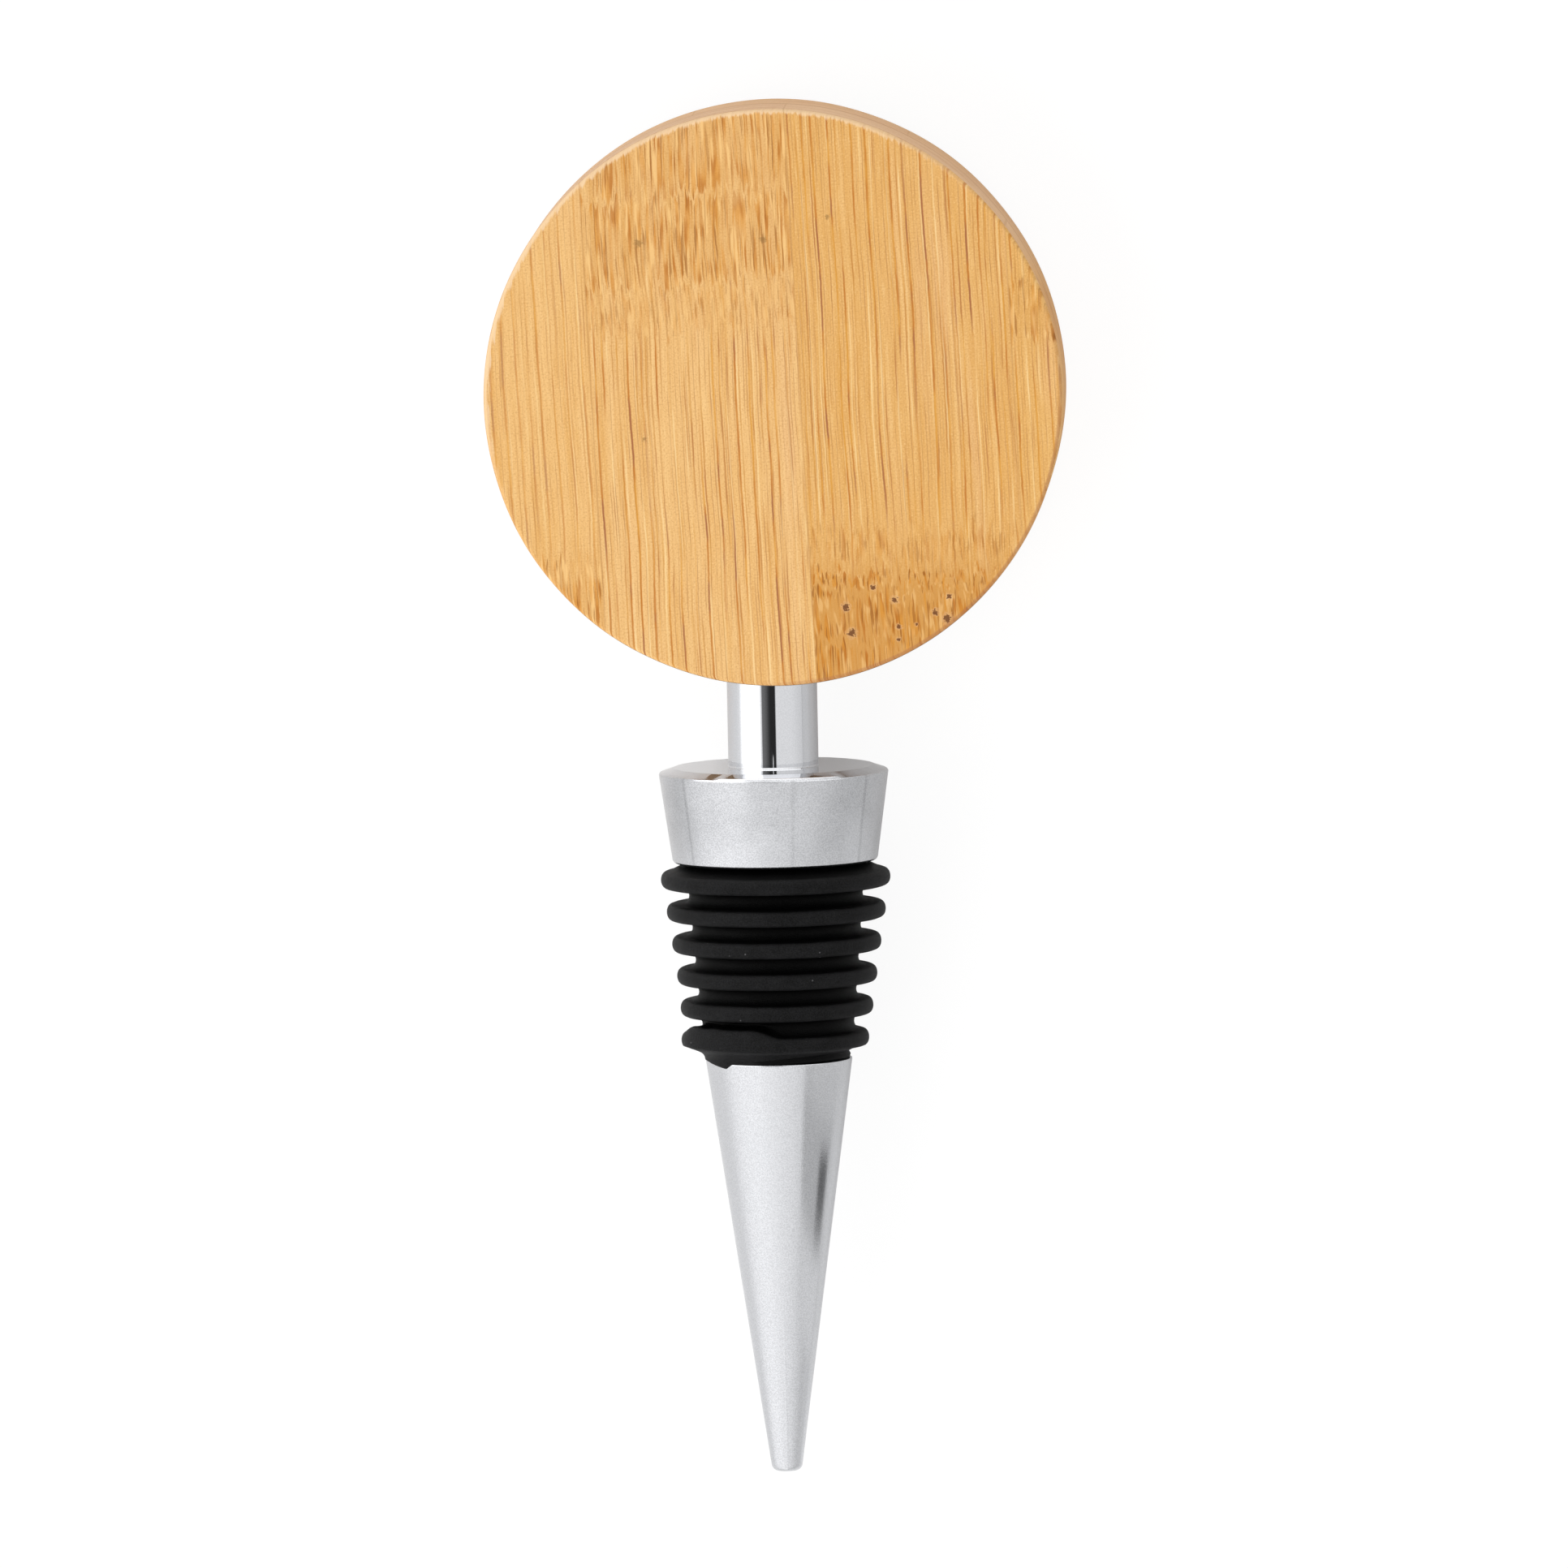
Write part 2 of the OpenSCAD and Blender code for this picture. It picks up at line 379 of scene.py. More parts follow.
def buffed_casting(skin):
    """Adds the mould's joint, the waves of buffing, and the flatter front of the top edge."""
    x, y, z = skin.T
    out = np.hypot(x, y)
    on_cone = np.clip((ridge_top - z) / ridge_fade, 0, 1)
    on_neck = 0.6 * np.clip((neck_z + neck_ridge - z) / neck_fade, 0, 1) * (z > neck_z)
    broken = noise_at(skin * (0, 0, 0.9)) * 0.8 + 0.8
    ridge = ridge_h * np.exp(-(((x - joint_x) / ridge_w) ** 2)) * (on_cone + on_neck) * broken
    wave = noise_at(skin * (0.35, 0.35, 0.12)) * wave_h
    grow = 1 + (ridge + wave) / np.maximum(out, 0.5)

    beaten = noise_at(skin * (0.9, 0.9, 0) + (0, 0, 7)) + 0.5
    near_roll = abs(z - neck_z + roll_h / 2) < roll_h * 0.7
    on_roll = near_roll & (out > collar_d / 2 - roll_in - 0.3)
    bearing = np.degrees(np.arctan2(x, -y))
    at_front = np.clip((buffed_half - abs(bearing - buffed_at)) / buffed_soft, 0, 1)
    outwards = np.clip((out - collar_d / 2 + roll_in) / roll_in, 0, 1)
    on_edge = (z > neck_z - roll_h + lip_h / 2) & (z <= neck_z)
    up = at_front * outwards * on_edge * buffed_h - beaten * beaten_h * on_roll
    return np.stack([x * grow, y * grow, z + up], -1)


near_joint = np.radians(np.arange(-4, 4.01, 0.4))
between_joints = np.radians(np.arange(6, 175, 2))
half_round = np.concatenate([near_joint, between_joints])
turns = np.concatenate([half_round, half_round + math.pi]) - math.pi / 2
casting_outline = spaced(rounded(casting_corners), 0.45)
casting = turned("plated_casting", casting_outline, turns, lie_down, buffed_casting)

# %% [markdown]
# ## Bright zinc plate
# The neck and the collar's top were polished before plating, and the collar's side and the
# cone only brushed smooth, so these are a little softer. The softness is a low roughness that
# grows with a fine grain, and a bump far finer than the eye can see as a shape. The same
# grain speckles the tone. The collar is clouded, a little darker towards its top, and has three
# faint darker lines along it. Down its left side it is darkened as a painted darker reflection.


# %% The casting's finish
def on_stopper(here):
    """Millimetres to the right of the stopper's axis, above it, and up from its tip."""
    to_right = here.along((1 / MM, 0, 0)) - axis_right
    above = here.along((0, 0, 1 / MM)) - axis_up
    return to_right, above, here.along((0, 1 / MM, 0)) + overall / 2


plate, bench, skin_of_plate = new_material("bright_zinc_plate")
here = bench.add("ShaderNodeTexCoord", out="Object")
to_right, above, height = on_stopper(here)
fine_grain = here.noise(Scale=8000.0, Detail=2.0)
buffing = here.noise(Scale=420.0, Detail=2.0)
cloud = here.noise(Scale=160.0, Detail=3.0)
satin = height.smooth(neck_z - 0.2, neck_z - 0.7)
on_collar = satin * (height > collar_z - 0.5)
speckle = (fine_grain.smooth(0.3, 0.7) - 0.5) * (0.45 + satin * 0.55 + on_collar * 0.2)
# Painted darker reflection: a band down the collar's left side is darkened in its colour.
darker_left_reflection = (to_right + cloud * 2).between(-8.0, -6.4, 1.2) * height.smooth(collar_z, neck_z)
dull_and_dark_reflection = cloud.smooth(0.35, 0.7) * 0.13 + darker_left_reflection * 0.2
dull_and_dark_reflection = dull_and_dark_reflection + height.smooth(collar_z, collar_z + 5) * 0.06
around = to_right.math("ARCTAN2", above) * (180 / math.pi)
darker_lines = {-43: 0.16, 19: 0.08, 63: 0.14}
for degrees, dark in darker_lines.items():
    dull_and_dark_reflection = dull_and_dark_reflection + (around - degrees).math("ABSOLUTE").smooth(1.8, 0.2) * dark
tone = 1 + speckle * 0.21 - on_collar * dull_and_dark_reflection
bright = linear(207, 208, 211)[:3]
grey = bench.add("ShaderNodeVectorMath", {"operation": "SCALE"}, {0: bright, 3: tone})
relief = bench.bump(buffing * 0.6 + fine_grain * satin, 0.25, 0.00002)
give_finish(skin_of_plate, grey, 0.03 + satin * (0.1 + fine_grain * 0.1), relief)
skin_of_plate.inputs["Metallic"].default_value = 1.0
stands_for(casting, "stopper_body", plate)
print("lines on the collar", len(darker_lines))

# %% [markdown]
# ## The rubber sleeve
# The sleeve is one moulding whose shape follows a rule: six fins at one pitch, each a little
# smaller than the last, with a round-bottomed groove between them. An Array modifier could
# stack six rings, but all alike and each a skin of its own. So Geometry Nodes make it from a
# flat grid: one way the grid runs round the axis, and the other way down the section, ring by
# ring. Each ring knows from its number which fin or groove it is on.

# %% The sleeve's sizes
ROUND = 264
TOP, NOSE, GROOVE, LEAD, FOOT = 2, 15, 11, 6, 6
sleeve_sizes = {
    "Fins": 6.0,
    "First fin radius": collar_d / 2,
    "Last fin radius": 8.95,
    "Fin taper curve": 1.3,
    "Fin thickness": 1.55,
    "Fin rounding": 0.7,
    "First root radius": 8.4,
    "Last root radius": 7.1,
    "First fin height": 56.85,
    "Last fin height": 41.5,
    "Lip radius": 7.08,
    "Drag": 0.32,
    "Heap": 0.85,
    "Lift": 0.62,
    "Flap hang": 0.52,
    "Unevenness": 0.07,
    "Seed": 4.0,
}
flap_degrees = {"point": 73, "slope": 28, "notch": 37, "rise": 7.5, "heap": 40}
flap = {name: math.radians(degrees) for name, degrees in flap_degrees.items()}
fin_count = int(sleeve_sizes["Fins"])
rings = TOP + (fin_count - 1) * (NOSE + GROOVE) + NOSE + LEAD + FOOT
print("rings", rings, "skin faces", (rings - 1) * ROUND)

# %% [markdown]
# The tree first works out each ring's own radius and height. A fin's nose is a blunt half
# round from its upper side to its lower one, and a groove is half a circle. The flat sides of
# the fins are the single step from the one to the other.


# %% The sleeve's section
def section(size, ring, tuck):
    """Radius and height of a ring, how far along the fins it is, and which part it is on."""
    bench = ring.bench
    number = ring - TOP
    fin = (number / (NOSE + GROOVE)).math("FLOOR")
    step = number - fin * (NOSE + GROOVE)
    in_groove = step > NOSE - 0.5
    share = ((fin + in_groove * 0.5) / (size["Fins"] - 1)).math("MINIMUM", 1).math("MAXIMUM", 0)
    is_last = fin > size["Fins"] - 1.5
    pitch = (size["First fin height"] - size["Last fin height"]) / (size["Fins"] - 1)
    half_t, rounding = size["Fin thickness"] / 2, size["Fin rounding"]
    taper = (1 - share) ** size["Fin taper curve"]
    first_r, last_r = size["First fin radius"], size["Last fin radius"]
    fin_r = last_r + (first_r - last_r) * taper
    first_root, last_root = size["First root radius"], size["Last root radius"]
    root_r = first_root + (last_root - first_root) * share
    fin_z = size["First fin height"] - fin * pitch
    nose = step * (math.pi / (NOSE - 1)) * (1 - is_last * tuck)
    blunt = nose.math("SINE").math("MAXIMUM", 0) ** 0.7
    nose_r = fin_r - rounding + rounding * blunt
    nose_z = fin_z + half_t * nose.math("COSINE")
    dip = (step - NOSE) * (math.pi / (GROOVE - 1))
    dip_r = root_r + (pitch / 2 - half_t) * (1 - dip.math("SINE"))
    dip_z = fin_z - pitch / 2 + (pitch / 2 - half_t) * dip.math("COSINE")
    radius = nose_r + in_groove * (dip_r - nose_r)
    place_z = nose_z + in_groove * (dip_z - nose_z)
    return radius, place_z, share, in_groove, fin, step


# %% [markdown]
# The two ends aren't part of the rule. Above the first fin the wall runs up to the collar,
# and below the last one a slanted underside leads in to the lip, the foot on the cone's
# shoulder and the bore. On the photographed stopper the sleeve was pulled on askew: at the
# front left a torn flap lies on the cone, and on the right the lip has lifted off the
# shoulder. The foot's rings are few, so each is simply picked from a list by its number.


# %% The sleeve's ends
def with_ends(size, ring, left, round_front, radius, place_z):
    """Adds the wall above the first fin, and the lead-in, lip, foot and bore under the last."""
    lifted = ((0.68 - left) / 1.5).math("MINIMUM", 1).math("MAXIMUM", 0)
    lift = lifted * size["Lift"]
    tail = ring - (rings - FOOT - LEAD)
    lead = ((tail + 1) / LEAD).math("MINIMUM", 1).math("MAXIMUM", 0)
    radius = radius + lead * (size["Lip radius"] - lifted * 0.35 - radius)
    place_z = place_z + lead * (cone_len + 0.14 + lift - place_z)

    hang = (flap["point"] - round_front) / flap["slope"]
    hang = hang.math("MINIMUM", (round_front - flap["notch"]) / flap["rise"])
    hang = hang.math("MAXIMUM", 0) * size["Flap hang"]
    recess = shoulder_d / 2 + 0.01 - lifted * 0.28
    on_cone = recess - hang * 0.14
    foot_rings = [
        (radius, place_z),
        (on_cone + 0.06 - lifted * 0.1, cone_len + 0.1 + lift * 0.8 - hang * 0.7),
        (on_cone + 0.04 + lifted * 0.06, cone_len + 0.02 + lifted * 0.3 - hang),
        (on_cone, cone_len - hang),
        (recess - 0.3, cone_len),
        (core_d / 2, cone_len),
        (core_d / 2, collar_z),
    ]
    items = {"data_type": "FLOAT", "items": len(foot_rings)}
    foot = (tail - LEAD).math("MAXIMUM", 0)
    picked = []
    for column in zip(*foot_rings):
        sockets = {"Index": foot, **dict(enumerate(column, start=1))}
        picked.append(ring.bench.add("GeometryNodeIndexSwitch", items, sockets))
    radius, place_z = picked

    at_top, at_bore = ring < TOP - 0.5, ring < 0.5
    radius = radius + at_top * (size["First root radius"] - radius)
    radius = radius + at_bore * (core_d / 2 - radius)
    place_z = place_z + at_top * (collar_z - place_z)
    return radius, place_z, tail


# %% [markdown]
# Pulling it on also dragged the last fin to one side, and heaped the rubber up in the groove
# over it at the front left. These and the slight unevenness of the fins are moved last, when
# every ring has its place. The grid's two edges meet at the back and are merged there.


# %% The sleeve's tree
def sleeve_tree():
    """Builds the node tree that makes the sleeve, and returns it."""
    tree = bpy.data.node_groups.new("ribbed sleeve", "GeometryNodeTree")
    for name in sleeve_sizes:
        tree.interface.new_socket(name=name, in_out="INPUT", socket_type="NodeSocketFloat")
    tree.interface.new_socket(name="Finish", in_out="INPUT", socket_type="NodeSocketMaterial")
    tree.interface.new_socket(name="Sleeve", in_out="OUTPUT", socket_type="NodeSocketGeometry")
    bench = Bench(tree)
    given = bench.add("NodeGroupInput")
    size = {name: given.other(name) for name in sleeve_sizes}
    seed, slack = size["Seed"], size["Unevenness"]
    flat = bench.add(
        "GeometryNodeMeshGrid", None,
        {"Size X": 1.0, "Size Y": 1.0, "Vertices X": ROUND + 1, "Vertices Y": rings},
    )
    on_grid = bench.add("GeometryNodeInputPosition")
    ring = ((on_grid.along((0, 1, 0)) + 0.5) * (rings - 1)).math("ROUND")
    turn = on_grid.along((1, 0, 0)) * (-2 * math.pi)
    left, front = turn.math("COSINE") * -1, turn.math("SINE") * -1
    round_front = left.math("ARCTAN2", front)
    tuck = 0.17 + left.smooth(-0.2, 0.8) * 0.13
    radius, place_z, share, in_groove, fin, step = section(size, ring, tuck)
    radius, place_z, tail = with_ends(size, ring, left, round_front, radius, place_z)

    lumps = bench.point(left * 3, front * 3, place_z * 0.8 + seed).noise(Detail=2.0)
    heap = (round_front - flap["heap"]).math("COSINE").smooth(0.68, 0.92)
    up_groove = in_groove * (fin > size["Fins"] - 2.5) * (step - NOSE).smooth(1, GROOVE - 2)
    over_nose = (1 - in_groove) * (fin > size["Fins"] - 1.5) * step.smooth(NOSE * 0.55, 0)
    bunched = (up_groove + over_nose) * (tail < 0)
    place_z = place_z + bunched * heap * (0.7 + lumps * 0.6) * size["Heap"]

    outer = (radius - size["Lip radius"]).smooth(0, 1.2)
    uneven = bench.point(left * 2, front * 2, place_z * 0.35 + seed).noise() - 0.5
    ragged = bench.point(left * 9, front * 9, seed).noise(Detail=2.0) - 0.5
    torn = ragged * (tail > LEAD - 1.5) * (tail < LEAD + 2.5)
    radius = radius + uneven * outer * slack
    place_z = place_z + (lumps - 0.5) * outer * slack + torn * 0.1
    dragged = size["Drag"] * share**5 * outer * -1
    where = bench.point(left * radius * -1 + dragged, front * radius * -1, place_z)

    shaped = bench.add("GeometryNodeSetPosition", None, {"Geometry": flat, "Position": where})
    seam = {"Geometry": shaped, "Distance": 0.002}
    joined = bench.add("GeometryNodeMergeByDistance", None, seam)
    smooth = bench.add("GeometryNodeSetShadeSmooth", None, {0: joined})
    real = bench.add("GeometryNodeRealizeInstances", None, {0: smooth})
    dressed = {0: real, "Material": given.other("Finish")}
    finished = bench.add("GeometryNodeSetMaterial", None, dressed)
    bench.add("NodeGroupOutput", None, {0: finished})
    return tree


# %% [markdown]
# ## Matt black rubber
# Rubber from a mould is nearly black, and what shows its shape is a faint gloss: it mirrors
# the dark gap overhead in the middle and the bright room at both sides. A sheen would light
# it evenly all round, so there is none. Rubber that fingers touch greys and picks up dust,
# and here the outer faces of the fins are greyed by wear. The grooves, and the gap under the
# lip where it has lifted, are kept a deeper black as painted shade. So the colour is chosen by
# how far a place is from the sleeve's axis, set against the radius that a fin has at that height.

# %% The rubber's finish
rubber, bench, skin_of_rubber = new_material("matt_black_rubber")
here = bench.add("ShaderNodeTexCoord", out="Object")
to_right, above, height = on_stopper(here)
from_axis = (to_right**2 + above**2) ** 0.5
last_r, last_z = sleeve_sizes["Last fin radius"], sleeve_sizes["Last fin height"]
share = ((height - last_z) / (sleeve_sizes["First fin height"] - last_z)).math("MAXIMUM", 0)
fin_reach = last_r + (collar_d / 2 - last_r) * share ** sleeve_sizes["Fin taper curve"]
mould_skin = here.noise(Scale=9000.0, Detail=3.0)
cloudy = here.noise(Scale=500.0, Detail=3.0)
# Painted shade: the grooves and recesses stay deep black, and only the outer faces grey with wear.
wear_and_hollow_shade = (from_axis - fin_reach + (cloudy - 0.5) * 0.3).smooth(-0.6, -0.28)
under = (height < last_z - 0.3) * (from_axis > shoulder_d / 2 - 0.02)
wear_and_hollow_shade = wear_and_hollow_shade.math("MAXIMUM", under.math("MAXIMUM", height < cone_len - 0.1))
specks = bench.add("ShaderNodeTexVoronoi", None, {"Vector": here, "Scale": 1300.0})
pick = specks.other("Color").along((1, 0, 0))
dust = (pick * 0.14 - specks).smooth(0, 0.05) * (pick > 0.86)
black_and_shade, smoke, lint = linear(1, 1, 1), linear(31, 31, 32), linear(120, 120, 122)
grainy = mould_skin.smooth(0.32, 0.68) * 0.75 + cloudy.smooth(0.35, 0.65) * 0.25
black = bench.blend(wear_and_hollow_shade, black_and_shade, bench.blend(grainy, black_and_shade, smoke))
black = bench.blend(dust * wear_and_hollow_shade * 0.5, black, lint)
pimpled = bench.bump(mould_skin, 0.8, 0.00007)
give_finish(skin_of_rubber, black, 0.48 + cloudy * 0.16, pimpled)
skin_of_rubber.inputs["Specular IOR Level"].default_value = 0.1
print("rubber nodes", len(bench.tree.nodes))

# %% [markdown]
# The modifier's inputs are set by their identifiers before the object is first evaluated.
# What the tree makes is then copied out as a plain mesh, and the modifier goes with the
# object that carried it.


# %% The sleeve's shape
def made_by_nodes(name, tree, values, place):
    """Runs a node tree and returns what it makes, as a plain mesh laid in the frame."""
    carrier = placed(name + "_carrier", bpy.data.meshes.new(name + "_carrier"))
    modifier = carrier.modifiers.new(name, "NODES")
    modifier.node_group = tree
    for socket in tree.interface.items_tree:
        if socket.in_out == "INPUT":
            modifier[socket.identifier] = values[socket.name]
    graph = bpy.context.evaluated_depsgraph_get()
    mesh = bpy.data.meshes.new_from_object(carrier.evaluated_get(graph))
    mesh.name = name
    mesh.transform(place)
    carrier.modifiers.clear()
    bpy.data.objects.remove(carrier)
    print(name, len(mesh.polygons), "faces")
    return placed(name, mesh)


sleeve_inputs = {**sleeve_sizes, "Finish": rubber}
sleeve = made_by_nodes("ribbed_sleeve", sleeve_tree(), sleeve_inputs, lie_down)
stands_for(sleeve, "rubber_sleeve", rubber)

# %% [markdown]
# ## The bamboo disc
# The disc was turned from two plies of pressed bamboo and sanded by hand, so its rim is a few
# hundredths of a millimetre out of round and its edges are eased. It is turned as the casting
# is, about an axis that runs from its back to its front.

# %% The disc's shape
half_t = disc_t / 2
disc_corners = [
    (0, -half_t, 0),
    (disc_d / 2, -half_t, disc_round),
    (disc_d / 2, half_t, disc_round),
    (0, half_t, 0),
]
stand_disc = Matrix.Translation((socket_off, 0, disc_z)) @ Matrix.Rotation(math.pi / 2, 4, "X")
sanded_off = 0.06


def sanded_disc(skin):
    """Hand sanding leaves the rim a few hundredths of a millimetre shy of round."""
    x, y, z = skin.T
    out = np.hypot(x, y)
    hand = noise_at(skin / (9, 9, 12))
    shy = sanded_off * np.clip(0.3 - hand, 0, 1) * (out / (disc_d / 2)) ** 6
    shrink = 1 - shy / np.maximum(out, 1)
    return np.stack([x * shrink, y * shrink, z], -1)


disc_turns = np.linspace(0, 2 * math.pi, 300, endpoint=False)
disc_outline = spaced(rounded(disc_corners), 0.9)
disc = turned("bamboo_handle", disc_outline, disc_turns, lie_down @ stand_disc, sanded_disc)

# %% [markdown]
# ## Bamboo
# Bamboo grows as a tube of pale, soft tissue with harder brown bundles running up through it.
# Flat strips of it, each about 20 mm wide, are glued side by side, so each strip has its own
# shade and its own marks. At a joint of the stalk, a node, the bundles break up into short
# dark dashes, with small pits where roots began. A picture of a board would show the same
# streaks on the face and on the rim. So all of it is drawn in solid coordinates, across the
# grain, along it and through the disc, and every side shows the same wood cut its own way.
# From here each helper builds on the bamboo's own bench.

# %% Coordinates along the grain
grain_lean = math.radians(2.2)
turn_only = lie_down.to_3x3().normalized()
disc_centre = lie_down @ Vector((socket_off, 0, disc_z))
across_way = turn_only @ Vector((math.cos(grain_lean), 0, math.sin(grain_lean)))
grain_way = turn_only @ Vector((-math.sin(grain_lean), 0, math.cos(grain_lean)))
front_way = turn_only @ Vector((0, -1, 0))

bamboo, bench, skin_of_bamboo = new_material("pressed_bamboo")
here = bench.add("ShaderNodeTexCoord", out="Object")


def measured(direction):
    """Millimetres from the disc's centre in a direction, as a wire."""
    return here.along(tuple(direction / MM)) - disc_centre.dot(direction) / MM


across, grain, depth = measured(across_way), measured(grain_way), measured(front_way)
print("grain runs", tuple(round(c, 3) for c in grain_way))

# %% [markdown]
# The seams between the strips are thin straight lines. The strips of the back ply are set
# half a strip aside, as a joiner would lay them. Every pattern is looked up at a place that
# jumps at a seam, so no streak runs on from one strip into the next.

# %% Strips
seams = (-17.2, 2.6, 22.9)
back_shift = 9.0
on_back = depth < 0.3
strip_place = across + on_back * back_shift
strip = sum((strip_place > seam for seam in seams), start=0 * depth)
own = strip * 31.7 + on_back * 57.3
seam_gap = (strip_place - seams[0]).math("ABSOLUTE")
for seam in seams[1:]:
    seam_gap = seam_gap.math("MINIMUM", (strip_place - seam).math("ABSOLUTE"))
from_axis = (across**2 + grain**2) ** 0.5
end_grain = (grain.math("ABSOLUTE") / from_axis.math("MAXIMUM", 1)).smooth(0.25, 0.6)
rim = from_axis.smooth(disc_d / 2 - 0.45, disc_d / 2 - 0.15)
rim = rim * (depth.math("ABSOLUTE") < half_t - 0.2)
print("strips", [round(b - a, 1) for a, b in zip(seams, seams[1:])], "mm wide between seams")

# %% [markdown]
# A bundle of fibres is a thin, nearly straight brown line that runs on for centimetres, fades
# and starts again. The face is divided into lanes, one line to a lane, at a place in the lane
# that its number decides. A slow noise down the lane says where the line is alive, and a
# second one its tint. All the lanes share one gentle wander, and a slight shiver roughens
# their edges. On the side of the rim the lanes run down the depth instead.

# %% Lanes of fibres
calm = bench.point(grain / 14 + own, across * 0.12, depth * 0.05).noise(Detail=1.0) - 0.5
shiver = bench.point(grain * 1.1 + own, across * 1.5, 4.0).noise(Detail=1.0) - 0.5
sideways = across + depth * 0.8 + calm * 0.7 + shiver * 0.09


def chance(number, seed):
    """A number from 0 to 1 that belongs to a lane."""
    return bench.add("ShaderNodeTexWhiteNoise", {"noise_dimensions": "1D"}, {"W": number + seed})


def lane_lines(lane, half, run, level, seed, soft=0.05):
    """Long lines that fade in and out: how strongly each shows at a place, and its tint."""
    place = sideways / lane + own * 3.7 + seed
    number = place.math("FLOOR")
    off = (place - number - 0.2 - 0.6 * chance(number, seed)).math("ABSOLUTE") * lane
    life = bench.point(grain / run + own, number * 7.31, seed).noise(Detail=1.5)
    tint = bench.point(grain / 5 + own, number * 3.3, seed + 0.5).noise(Detail=1.0)
    mark = (off - half * (0.3 + 1.4 * life)).smooth(soft, -soft)
    return mark * life.smooth(level - 0.08, level + 0.08), tint.smooth(0.3, 0.7)


def streaks(width, length, detail=2.0, shift=0.0):
    """Soft noise drawn out along the grain. width and length are the size of one streak."""
    place = bench.point(sideways / width, grain / length + own + shift, shift)
    return place.noise(Detail=detail, Roughness=0.6)

# %% [markdown]
# At a node the bundles break up into rows of short thick dashes. Each row lies in one strip,
# between two heights, and its dashes start and stop unevenly. A row needs only its limits:
# how deep a place lies inside the nearest row, and that row's number, which shifts the
# pattern so that no dash runs on from one row into the next. The third and fourth rows are
# faint ones.

# %% Rows of dashes at a node
node_rows = [  # the strip, the lower and the upper end, and how marked it is
    (1, 19.8, 31.0, 1.0),
    (1, 11.2, 19.8, 1.0),
    (1, 6.6, 11.2, 0.85),
    (2, -17.2, -12.6, 0.55),
    (2, -19.2, -17.2, 1.0),
    (2, -24.2, -19.2, 1.0),
    (2, -31.0, -24.2, 0.9),
    (0, -21.5, -14.2, 0.7),
    (3, 3.7, 10.2, 0.7),
]
wavy = bench.point(sideways * 1.7, own, 3.0).noise(Detail=1.0) - 0.5
ragged = bench.point(sideways * 4.2, own, 6.0).noise(Detail=0.0) - 0.5
uneven = grain + wavy * 4.5 + ragged * 2.6
inside, row, length = 0 * depth - 9, 0 * depth, 1 + 0 * depth
for number, (in_strip, low, high, strength) in enumerate(node_rows, start=1):
    within = (uneven - low).math("MINIMUM", high - uneven) * strength
    within = within - (strip - in_strip).math("ABSOLUTE") * 99 - on_back * 99
    nearer = within > inside
    row = row + nearer * (number - row)
    length = length + nearer * (high - low - length)
    inside = inside.math("MAXIMUM", within)
node = inside.smooth(-1.6, 2.0)
ends = inside.smooth(0, 0.5)
faint = ((row - 3.5).math("ABSOLUTE") < 0.6) * 0.42
patch = bench.point(sideways / 2.2, grain / 3.5 + own, 8.0).noise(Detail=1.0).smooth(0.32, 0.62)


def dashes(width, share, low, high, seed):
    """Dashes as the crests of a drawn-out noise, thinner towards the ends of a row."""
    down = grain / length / share + own + row * 3.7
    crest = bench.point(sideways / width, down, seed).noise(Detail=1.0) + ends * 0.1
    return crest.smooth(low + 0.1, high + 0.1) * ends * (1 - faint)


print("rows of dashes", len(node_rows))

# %% [markdown]
# The colours were chosen against the photograph: honey for the soft tissue, paler on
# the left strips, and three browns for the bundles. Each layer is laid thinly over the last,
# and a layer is only how strongly it shows and its shade.


# %% Soft tissue
def over(colour, layers):
    """Lays layers over a colour, the first one lowest: how strongly each shows, and its shade."""
    for strength, shade in layers:
        colour = bench.blend(strength, colour, linear(*shade))
    return colour


honey = [(241, 192, 124), (241, 193, 127), (233, 180, 107), (235, 183, 108)]
colour = over(linear(*honey[0]), [(strip > i + 0.5, shade) for i, shade in enumerate(honey[1:])])
broad = streaks(2.6, 40.0, shift=11.0)
middling = streaks(0.5, 25.0, shift=23.0)
hair = streaks(0.12, 3.0, shift=31.0)
pores = bench.point(across * 6, grain * 6, depth * 6).noise(Detail=3.0)
colour = over(colour, [
    (broad.smooth(0.45, 0.7) * 0.45, (232, 174, 94)),
    (broad.smooth(0.46, 0.25) * 0.35, (238, 190, 142)),
    (middling.smooth(0.5, 0.68) * 0.4, (226, 168, 88)),
    (middling.smooth(0.46, 0.3) * 0.4, (252, 208, 142)),
    (hair.smooth(0.5, 0.75) * 0.45, (214, 156, 86)),
    (hair.smooth(0.46, 0.25) * 0.4, (255, 216, 154)),
    (pores.smooth(0.48, 0.72) * 0.5, (206, 150, 84)),
    (pores.smooth(0.47, 0.24) * 0.5, (255, 214, 150)),
])
print("shades", len(honey))

# %% [markdown]
# Four kinds of lane lie over the tissue: pale lines, fine ones, amber ones and a few strong
# ones. They fade at a node, on the rim's end grain, and a little in the first strip.

